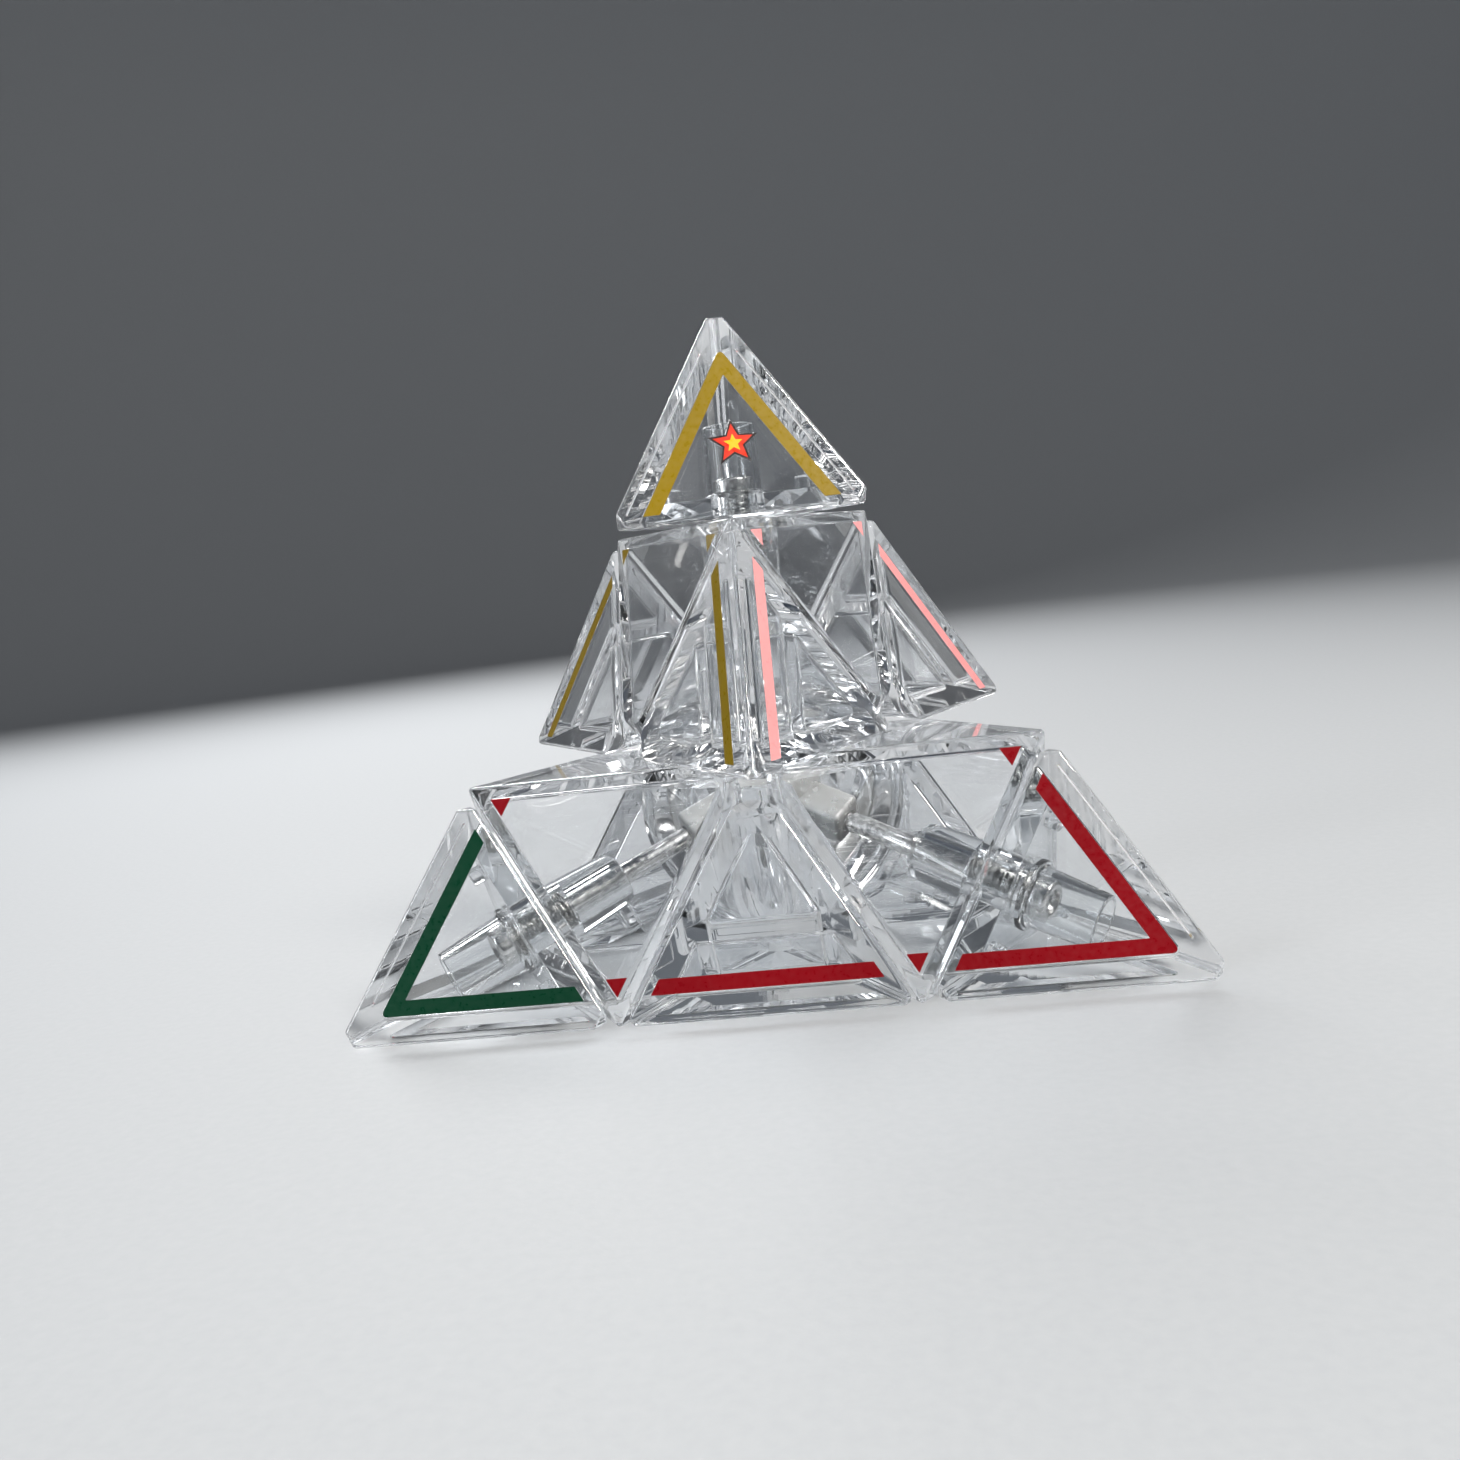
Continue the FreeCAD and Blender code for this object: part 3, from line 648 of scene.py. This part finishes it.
def prism(name, outlines, start, end, rounding, first_rounding=None):
    """Flat pieces on the front face between two depths; the underside has the second material.

    The upright edges are rounded, the one at each outline's first point by first_rounding if it is given.
    """
    bm = bmesh.new()
    firsts = []
    others = []
    for outline in outlines:
        upper = [bm.verts.new(point - FRONT * start) for point in outline]
        lower = [bm.verts.new(point - FRONT * end) for point in outline]
        bm.faces.new(upper)
        bm.faces.new(list(reversed(lower))).material_index = 1
        count = len(outline)
        for index in range(count):
            following = (index + 1) % count
            side = bm.faces.new((upper[following], upper[index], lower[index], lower[following]))
            side.material_index = 1
        uprights = [bm.edges.get(pair) for pair in zip(upper, lower)]
        firsts.append(uprights[0])
        others += uprights[1:]
    if first_rounding is None:
        others += firsts
    else:
        bmesh.ops.bevel(bm, geom=firsts, offset=first_rounding, segments=6, affect="EDGES", profile=0.5)
    others = [edge for edge in others if edge.is_valid]
    bmesh.ops.bevel(bm, geom=others, offset=rounding, segments=3, affect="EDGES", profile=0.5)
    bmesh.ops.recalc_face_normals(bm, faces=bm.faces)
    return mesh_from_bmesh(name, bm)


def strip_prism(kind, part, grow, start, end):
    """The strips on one face of a kind of piece, grown by a little, between two depths."""
    chevron = CHEVRON_ROUND if kind == "tip" else None
    return prism(f"{kind}_{part}", strip_outlines(grow)[kind], start, end, STRIP_ROUND, chevron)


def strip_mesh(kind):
    return strip_prism(kind, "strip", 0, STRIP_DEPTH, STRIP_DEPTH + STRIP_THICKNESS)


def recess_mesh(kind):
    """What is cut from a face for its strips."""
    return strip_prism(kind, "recess", RECESS_PLAY, -RECESS_DEPTH, RECESS_DEPTH)


def joined(name, meshes):
    """Several meshes as one."""
    bm = bmesh.new()
    for mesh in meshes:
        bm.from_mesh(mesh)
    return mesh_from_bmesh(name, bm)


# ---------------------------------------------------------------- materials

def connect(tree, node, inputs):
    """Sets a node's inputs, by name or number, to values or to other nodes' outputs."""
    for name, value in inputs.items():
        if isinstance(value, bpy.types.NodeSocket):
            tree.links.new(value, node.inputs[name])
        else:
            node.inputs[name].default_value = value


def add(tree, kind, inputs, **settings):
    """A new node with its inputs and settings."""
    node = tree.nodes.new(kind)
    for name, value in settings.items():
        setattr(node, name, value)
    connect(tree, node, inputs)
    return node


def noise(tree, scale, detail=3, stretch=(1, 1, 1), turn=(0, 0, 0)):
    """Noise in the piece's own space; scale is in features a metre, more or less."""
    place = add(tree, "ShaderNodeTexCoord", {}).outputs["Object"]
    mapping = add(tree, "ShaderNodeMapping", {"Vector": place, "Scale": stretch, "Rotation": turn})
    inputs = {"Vector": mapping.outputs[0], "Scale": scale, "Detail": detail}
    return add(tree, "ShaderNodeTexNoise", inputs).outputs["Fac"]


def between(tree, value, start, end, low, high):
    """low where value is under start, high where it is over end, and a smooth passage between."""
    inputs = {"Value": value, "From Min": start, "From Max": end, "To Min": low, "To Max": high}
    return add(tree, "ShaderNodeMapRange", inputs, interpolation_type="SMOOTHSTEP").outputs["Result"]


def maths(tree, operation, *values):
    return add(tree, "ShaderNodeMath", dict(enumerate(values)), operation=operation).outputs[0]


def blend_colours(tree, factor, first, second):
    # The mix node's colours are its inputs 6 and 7 and its output 2.
    inputs = {"Factor": factor, 6: first, 7: second}
    return add(tree, "ShaderNodeMix", inputs, data_type="RGBA").outputs[2]


def bump(tree, strength, distance, height):
    inputs = {"Strength": strength, "Distance": distance, "Height": height}
    return add(tree, "ShaderNodeBump", inputs).outputs["Normal"]


def new_material(name):
    material = bpy.data.materials.new(name)
    material.use_nodes = True
    tree = material.node_tree
    return material, tree, tree.nodes["Principled BSDF"]


def scratches(tree, turn, density):
    """Short hairline scratches, all in about one direction."""
    lines = noise(tree, 130, 1, (0.12, 6, 6), turn)
    patches = noise(tree, 90, 2, (1, 1, 1), turn)
    sharp = between(tree, lines, 0.5 - 0.004, 0.5, 0, 1)
    fading = between(tree, lines, 0.5, 0.5 + 0.004, 1, 0)
    line = maths(tree, "MULTIPLY", sharp, fading)
    return maths(tree, "MULTIPLY", line, between(tree, patches, 0.55 - density, 0.65 - density, 0, 1))


def clear_plastic(name, colour, haze):
    """Polished clear plastic: faint sink waves, a little handling haze and hairline scratches."""
    material, tree, shader = new_material(name)
    one_way = scratches(tree, (0.3, 0.9, 0.2), 0.02)
    other_way = scratches(tree, (1.4, 0.2, 1.1), 0.0)
    worn = maths(tree, "MAXIMUM", one_way, other_way)
    smudges = between(tree, noise(tree, 120, 4), 0.45, 0.75, 0.004, haze)
    waves = bump(tree, 1.0, 0.012 * MM, noise(tree, 75, 1))
    marks = add(
        tree,
        "ShaderNodeBump",
        {"Strength": 0.3, "Distance": 0.02 * MM, "Height": worn, "Normal": waves},
        invert=True,
    )
    connect(tree, shader, {
        "Base Color": colour,
        "Roughness": maths(tree, "MAXIMUM", smudges, between(tree, worn, 0, 1, 0, 0.22)),
        "IOR": 1.58,
        "Transmission Weight": 1,
        "Normal": marks.outputs["Normal"],
    })
    # Shadow rays pass straight through, so that light reaches the parts inside.
    passing = add(tree, "ShaderNodeBsdfTransparent", {"Color": (0.97, 0.975, 0.98, 1)}).outputs[0]
    in_shadow = add(tree, "ShaderNodeLightPath", {}).outputs["Is Shadow Ray"]
    mixed = add(tree, "ShaderNodeMixShader", {0: in_shadow, 1: shader.outputs[0], 2: passing})
    connect(tree, tree.nodes["Material Output"], {"Surface": mixed.outputs[0]})
    return material


def milky_plastic(name):
    """The core's pale, slightly cloudy plastic."""
    material, tree, shader = new_material(name)
    cloud = noise(tree, 350, 4)
    connect(tree, shader, {
        "Base Color": blend_colours(tree, cloud, (0.86, 0.88, 0.88, 1), (0.95, 0.95, 0.93, 1)),
        "Roughness": between(tree, noise(tree, 900, 3), 0.3, 0.7, 0.12, 0.3),
        "IOR": 1.5,
        "Transmission Weight": 0.65,
        "Subsurface Weight": 0.3,
        "Subsurface Radius": (2 * MM, 2 * MM, 2 * MM),
        "Subsurface Scale": 1,
        "Normal": bump(tree, 0.3, 0.1 * MM, noise(tree, 700, 3)),
    })
    return material


def steel(name, light, dark, roughness, grain):
    """Bright metal with fine turned or drawn marks."""
    material, tree, shader = new_material(name)
    fine = noise(tree, grain, 4)
    connect(tree, shader, {
        "Base Color": blend_colours(tree, fine, dark, light),
        "Metallic": 1,
        "Roughness": between(tree, fine, 0.3, 0.7, roughness * 0.6, roughness * 1.5),
        "Normal": bump(tree, 0.35, 0.04 * MM, fine),
    })
    return material


def film_material(name, light, dark):
    """Coloured film: an even colour with a fine mottle, a soft gloss and faint wear."""
    material, tree, shader = new_material(name)
    mottle = noise(tree, 1800, 3)
    broad = between(tree, noise(tree, 60, 3), 0.35, 0.65, 0, 1)
    mixed = maths(tree, "MULTIPLY_ADD", broad, 0.5, maths(tree, "MULTIPLY", mottle, 0.5))
    connect(tree, shader, {
        "Base Color": blend_colours(tree, mixed, dark, light),
        "Roughness": between(tree, mottle, 0.3, 0.7, 0.26, 0.42),
        "Specular IOR Level": 0.3,
        "Coat Weight": 0.1,
        "Coat Roughness": 0.12,
        "Normal": bump(tree, 0.2, 0.03 * MM, mottle),
    })
    return material


MATERIALS = {
    "clear_shell": clear_plastic("clear_shell", (0.985, 0.99, 0.995, 1), 0.02),
    "clear_insert": clear_plastic("clear_insert", (0.975, 0.985, 0.99, 1), 0.04),
    "core_plastic": milky_plastic("core_plastic"),
    "spring_steel": steel("spring_steel", (0.4, 0.39, 0.37, 1), (0.22, 0.22, 0.22, 1), 0.2, 2500),
    "screw_steel": steel("screw_steel", (0.82, 0.81, 0.79, 1), (0.6, 0.6, 0.6, 1), 0.16, 1800),
    "film_red": film_material("film_red", (0.22, 0.001, 0.005, 1), (0.17, 0.001, 0.004, 1)),
    "film_yellow": film_material("film_yellow", (0.27, 0.175, 0.0, 1), (0.21, 0.135, 0.0, 1)),
    "film_pink": film_material("film_pink", (0.84, 0.33, 0.33, 1), (0.76, 0.27, 0.27, 1)),
    "film_green": film_material("film_green", (0.002, 0.04, 0.018, 1), (0.001, 0.03, 0.013, 1)),
}
FILM_BACKING = film_material("film_backing", (0.62, 0.63, 0.64, 1), (0.52, 0.53, 0.54, 1))
EMBLEM_INKS = {
    "outline": film_material("emblem_outline_ink", (0.03, 0.02, 0.02, 1), (0.015, 0.01, 0.01, 1)),
    "star": film_material("emblem_star_ink", (0.75, 0.04, 0.01, 1), (0.6, 0.02, 0.008, 1)),
    "middle": film_material("emblem_middle_ink", (0.85, 0.52, 0.02, 1), (0.7, 0.4, 0.01, 1)),
}


# ---------------------------------------------------------------- places

def turn_found(corner, node, opposite):
    """How far a body is turned about a corner's axis, read from its strips of one colour.

    opposite is the corner opposite the face that has that colour when the puzzle is solved.
    """
    axis = CORNERS[corner].normalized()
    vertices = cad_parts[node].data.vertices
    found = sum((vertex.co for vertex in vertices), Vector()) / len(vertices)
    found -= axis * found.dot(axis)
    solved = -CORNERS[opposite]
    solved -= axis * solved.dot(axis)
    angle = math.atan2(axis.dot(solved.cross(found)), solved.dot(found))
    return Matrix.Rotation(angle, 4, axis)


TURNS = {
    "base": Matrix.Identity(4),
    "top_layer": turn_found("top", "top_layer_red_strips", "back"),
    "top_tip": turn_found("top", "top_tip_red_strips", "back"),
    "left_tip": turn_found("left", "left_tip_red_strips", "back"),
    "right_tip": turn_found("right", "right_tip_red_strips", "back"),
    "back_tip": turn_found("back", "back_tip_green_strips", "top"),
}
FACE_COLOURS = {"back": "red", "left": "yellow", "right": "pink", "top": "green"}
# Each edge by its place as stored, with the body that it rides on and the two corners that it joins when
# the puzzle is solved.
EDGES = {
    "upper_right": ("top_layer", "top", "left"),
    "upper_left": ("top_layer", "top", "right"),
    "upper_front": ("top_layer", "top", "back"),
    "lower_front": ("base", "left", "right"),
    "lower_right": ("base", "right", "back"),
    "lower_left": ("base", "back", "left"),
}
# The turns that carry an edge's front face to each of its two faces.
EDGE_FACES = [
    Matrix.Identity(4),
    Matrix.Rotation(math.pi, 4, (CORNERS["top"] + CORNERS["left"]).normalized()),
]


def pair_frame(first, second):
    """The axes of the edge between two corners: along it, across it, and out from the core through it."""
    outward = (CORNERS[first] + CORNERS[second]).normalized()
    across = (CORNERS[second] - CORNERS[first]).normalized()
    return Matrix((across, outward.cross(across), outward)).transposed().to_4x4()


def edge_rotation(first, second):
    """The rotation that carries the top left edge to the edge between two corners of the solved puzzle."""
    return pair_frame(first, second) @ pair_frame("top", "left").inverted()


def face_colour(solved_rotation):
    """The colour of the solved face that the front face is carried to."""
    outward = solved_rotation @ FRONT
    return FACE_COLOURS[min(CORNERS, key=lambda corner: CORNERS[corner].dot(outward))]


def put(name, mesh, body, nodes, materials):
    """A piece in its place, riding on its body instead of the CAD nodes that it stands for."""
    for material in materials:
        mesh.materials.append(material)
    piece = bpy.data.objects.new(name, mesh)
    bpy.context.scene.collection.objects.link(piece)
    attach(piece, body)
    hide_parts(*nodes)


def put_node(node, mesh, body, solved_rotation, slot):
    placed = moved(mesh, TURNS[body] @ solved_rotation)
    put(f"{node}_visual", placed, body, [node], [MATERIALS[slot]])


# The strips of each body and colour, which make one piece.
strip_groups = {}


def add_strips(mesh, body, solved_rotation, face_turns):
    """A piece's strips, each put with the others of its body and colour."""
    for face_turn in face_turns:
        rotation = solved_rotation @ face_turn
        key = (body, face_colour(rotation))
        strip_groups.setdefault(key, []).append(moved(mesh, TURNS[body] @ rotation))


# The emblem is on the top tip's yellow face.
EMBLEM_TURN = THREE_TURNS[1]
star_outlines = [star(EMBLEM_RADIUS + RECESS_PLAY)]
star_recess = prism("star_recess", star_outlines, -RECESS_DEPTH, RECESS_DEPTH, STAR_RECESS_ROUND)
tip_shell = tip_shell_mesh(turned_copies(recess_mesh("tip"), THREE_TURNS))
marked_tip_shell = without(tip_shell, moved(star_recess, EMBLEM_TURN))
tip_plate = tip_plate_mesh()
post = post_mesh()
axial_shell = axial_shell_mesh(turned_copies(recess_mesh("axial"), THREE_TURNS))
axial_cap = axial_cap_mesh()
edge_shell = edge_shell_mesh(turned_copies(recess_mesh("edge"), EDGE_FACES))
edge_foot = edge_foot_mesh()
screw = screw_mesh()
spring = spring_mesh()
tip_strip = strip_mesh("tip")
edge_strip = strip_mesh("edge")
axial_strip = strip_mesh("axial")

put_node("core", core_mesh(), "base", Matrix.Identity(4), "core_plastic")
for corner in CORNERS:
    solved = corner_rotation(corner)
    layer = "top_layer" if corner == "top" else "base"
    tip = f"{corner}_tip"
    put_node(f"{corner}_axial_shell", axial_shell, layer, solved, "clear_shell")
    put_node(f"{corner}_axial_cap", axial_cap, layer, solved, "clear_insert")
    put_node(f"{corner}_spring", spring, layer, solved, "spring_steel")
    put_node(f"{corner}_post", post, layer, solved, "clear_insert")
    shell = marked_tip_shell if corner == "top" else tip_shell
    put_node(f"{corner}_tip_shell", shell, tip, solved, "clear_shell")
    put_node(f"{corner}_tip_plate", tip_plate, tip, solved, "clear_insert")
    add_strips(axial_strip, layer, solved, THREE_TURNS)
    add_strips(tip_strip, tip, solved, THREE_TURNS)

for name, (layer, first, second) in EDGES.items():
    solved = edge_rotation(first, second)
    put_node(f"{name}_edge_shell", edge_shell, layer, solved, "clear_shell")
    put_node(f"{name}_edge_foot", edge_foot, layer, solved, "clear_shell")
    add_strips(edge_strip, layer, solved, EDGE_FACES)

screws = [moved(screw, corner_rotation(corner)) for corner in CORNERS]
put(
    "corner_screws_visual",
    finished(joined("corner_screws", screws)),
    "base",
    ["corner_screws"],
    [MATERIALS["screw_steel"]],
)
for (body, colour), meshes in strip_groups.items():
    node = f"{body}_{colour}_strips"
    slot = f"film_{colour}"
    materials = [MATERIALS[slot], FILM_BACKING]
    put(f"{node}_visual", finished(joined(node, meshes)), body, [node], materials)

for layer, (ink, share) in enumerate(EMBLEM_SHARES.items()):
    top = STRIP_DEPTH - INK_STEP * layer
    bottom = STRIP_DEPTH + STRIP_THICKNESS
    sheet = prism(f"emblem_{ink}", [star(EMBLEM_RADIUS * share)], top, bottom, INK_ROUND)
    put(
        f"top_tip_emblem_{ink}",
        finished(moved(sheet, TURNS["top_tip"] @ EMBLEM_TURN)),
        "top_tip",
        ["top_tip_emblem"],
        [EMBLEM_INKS[ink], FILM_BACKING],
    )


# ---------------------------------------------------------------- stage, light and camera

FLOOR = CAD_BOX[0].z
LIGHT_TARGET = Vector((0, 0, 10 * MM))
CAMERA_PLACE = (16.79 * MM, -169.05 * MM, 27.29 * MM)
CAMERA_PITCH = -6.5
CAMERA_HEADING = 7.0
CAMERA_TILT = -6.81
CAMERA_LENS = 33.84


def sweep_mesh(flat=0.9, curve=0.6, top=1.3, steps=24, around=96):
    """A round floor that curves up into a wall all the way round."""
    profile = [(0, FLOOR), (flat, FLOOR)]
    for step in range(1, steps + 1):
        angle = math.pi / 2 * step / steps
        profile.append((flat + curve * math.sin(angle), FLOOR + curve * (1 - math.cos(angle))))
    profile.append((flat + curve, FLOOR + top))
    directions = []
    for step in range(around):
        angle = 2 * math.pi * step / around
        directions.append((math.cos(angle), math.sin(angle)))
    bm = bmesh.new()
    rings = []
    for radius, height in profile:
        rings.append([bm.verts.new((radius * x, radius * y, height)) for x, y in directions])
    for lower, upper in zip(rings, rings[1:]):
        for step in range(around):
            following = (step + 1) % around
            bm.faces.new((lower[step], lower[following], upper[following], upper[step]))
    bmesh.ops.remove_doubles(bm, verts=bm.verts, dist=1e-5)
    return mesh_from_bmesh("sweep", bm)


def paper():
    """Pale matt studio paper."""
    material, tree, shader = new_material("studio_paper")
    fibre = noise(tree, 900, 4)
    connect(tree, shader, {
        "Base Color": blend_colours(tree, fibre, (0.33, 0.343, 0.356, 1), (0.37, 0.38, 0.39, 1)),
        "Roughness": 0.75,
        "Normal": bump(tree, 0.1, 0.2 * MM, fibre),
    })
    return material


def soft_light(name, place, width, height, power, colour):
    """A rectangular light that shines at the puzzle."""
    light = bpy.data.lights.new(name, "AREA")
    light.shape = "RECTANGLE"
    light.size = width
    light.size_y = height
    light.energy = power
    light.color = colour
    lamp = bpy.data.objects.new(name, light)
    bpy.context.scene.collection.objects.link(lamp)
    lamp.location = place
    lamp.rotation_euler = (LIGHT_TARGET - Vector(place)).to_track_quat("-Z", "Y").to_euler()


def surroundings():
    """An even studio: pale low down and a deeper grey blue overhead."""
    world = bpy.data.worlds.new("studio")
    world.use_nodes = True
    tree = world.node_tree
    background = tree.nodes["Background"]
    direction = add(tree, "ShaderNodeTexCoord", {}).outputs["Generated"]
    height = add(tree, "ShaderNodeSeparateXYZ", {0: direction}).outputs["Z"]
    share = between(tree, height, 0.0, 0.9, 0, 1)
    sky = blend_colours(tree, share, (0.7, 0.75, 0.82, 1), (0.05, 0.07, 0.11, 1))
    connect(tree, background, {"Color": sky, "Strength": 0.5})
    return world


def add_camera():
    """A camera close in front of the puzzle, a little above its middle, and tilted to one side."""
    data = bpy.data.cameras.new("camera")
    data.sensor_width = 36
    data.lens = CAMERA_LENS
    data.clip_start = 5 * MM
    data.clip_end = 20
    camera = bpy.data.objects.new("camera", data)
    camera.location = CAMERA_PLACE
    facing = Euler((math.radians(90 + CAMERA_PITCH), 0, math.radians(CAMERA_HEADING)))
    tilt = Matrix.Rotation(math.radians(CAMERA_TILT), 4, "Z")
    camera.rotation_euler = (facing.to_matrix().to_4x4() @ tilt).to_euler()
    bpy.context.scene.collection.objects.link(camera)
    bpy.context.scene.camera = camera


scene = bpy.context.scene
scene.world = surroundings()

sweep = bpy.data.objects.new("studio_sweep", sweep_mesh())
sweep.data.materials.append(paper())
sweep.data.polygons.foreach_set("use_smooth", [True] * len(sweep.data.polygons))
scene.collection.objects.link(sweep)

soft_light("key", (0.38, -0.28, 0.5), 0.2, 0.2, 7, (1.0, 0.97, 0.93))
soft_light("fill", (-0.5, -0.3, 0.2), 0.15, 0.5, 2.2, (0.93, 0.96, 1.0))
soft_light("rim", (-0.25, 0.5, 0.42), 0.4, 0.12, 5, (1.0, 1.0, 1.0))
add_camera()

# Light passes many walls on its way through the puzzle.
scene.cycles.max_bounces = 40
scene.cycles.transmission_bounces = 36
scene.cycles.glossy_bounces = 16
scene.cycles.transparent_max_bounces = 96
scene.cycles.caustics_reflective = False
scene.cycles.caustics_refractive = False
scene.view_settings.view_transform = "Standard"
